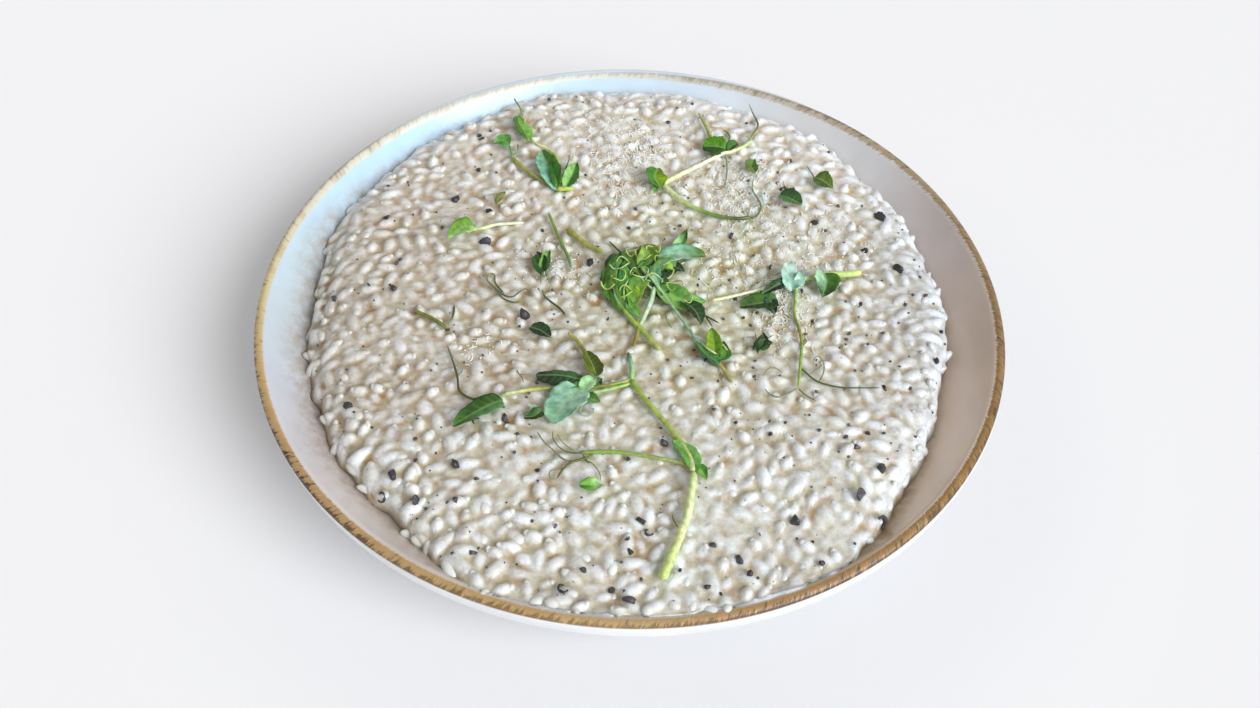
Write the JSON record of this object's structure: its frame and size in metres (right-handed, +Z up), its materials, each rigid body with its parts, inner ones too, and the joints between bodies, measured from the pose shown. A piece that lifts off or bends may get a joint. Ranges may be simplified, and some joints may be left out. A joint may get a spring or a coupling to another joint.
{
  "type": "truffle risotto in a coupe bowl",
  "caption": "Creamy truffle risotto filling a white glazed coupe bowl with a painted brown rim, topped with pea shoots, loose leaves and minced black truffle.",
  "frame": {"origin": "under the middle of the foot ring, on the surface that the bowl stands on", "axes": "+Z up through the middle of the bowl; -Y towards the person eating, where the thickest stem ends; +X to that person's right"},
  "size_m": [0.27, 0.27, 0.0467],
  "materials": {
    "stoneware": "gloss",
    "rice": "satin, wet sheen",
    "pea_shoot": "satin",
    "pea_leaf": "satin",
    "pea_stem": "satin"
  },
  "bodies": {
    "root": {"bowl": "stoneware", "risotto": "rice", "shoot_back_left": "pea_shoot", "shoot_back_right": "pea_shoot", "shoot_centre": "pea_shoot", "shoot_right": "pea_shoot", "shoot_front": "pea_shoot", "leaf_back_dark": "pea_leaf", "leaf_back_small": "pea_leaf", "leaf_frilled": "pea_leaf", "leaf_scrap_dark": "pea_leaf", "leaf_scrap_front": "pea_leaf", "scrap_right": "pea_leaf", "leaf_tip_back": "pea_stem", "sprig_left": "pea_stem", "stem_back_dark": "pea_stem", "stem_back_pale": "pea_stem", "stem_left": "pea_stem", "curl_left": "pea_stem", "curl_middle": "pea_stem"}
  },
  "joints": []
}
